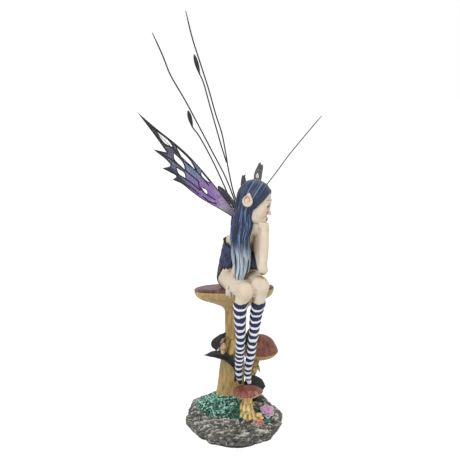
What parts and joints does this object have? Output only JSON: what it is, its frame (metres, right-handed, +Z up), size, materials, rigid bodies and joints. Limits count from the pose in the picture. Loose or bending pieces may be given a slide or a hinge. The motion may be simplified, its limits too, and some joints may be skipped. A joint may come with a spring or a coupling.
{
  "type": "fairy figurine",
  "caption": "Cold-cast resin fairy with striped stockings and printed wings, seated on a tall toadstool that grows from a mossy rock base.",
  "frame": {"origin": "centre of the flat underside of the rock base", "axes": "+Z up, -Y towards the front that the knees point to, +X the way the face looks"},
  "size_m": [0.1703, 0.1755, 0.3845],
  "materials": {
    "painted_resin": "matt hand-painted cold-cast resin",
    "painted_figure": "satin hand-painted cold-cast resin",
    "printed_wing": "thin printed sheet, satin",
    "black_wire": "black lacquered wire"
  },
  "bodies": {
    "root": {"base_casting": "painted_resin", "fairy_casting": "painted_figure", "wing_right": "printed_wing", "wing_left": "printed_wing", "tendril_right": "black_wire", "tendril_left": "black_wire", "tendril_drop": "black_wire", "tendril_fork": "black_wire"}
  },
  "joints": []
}
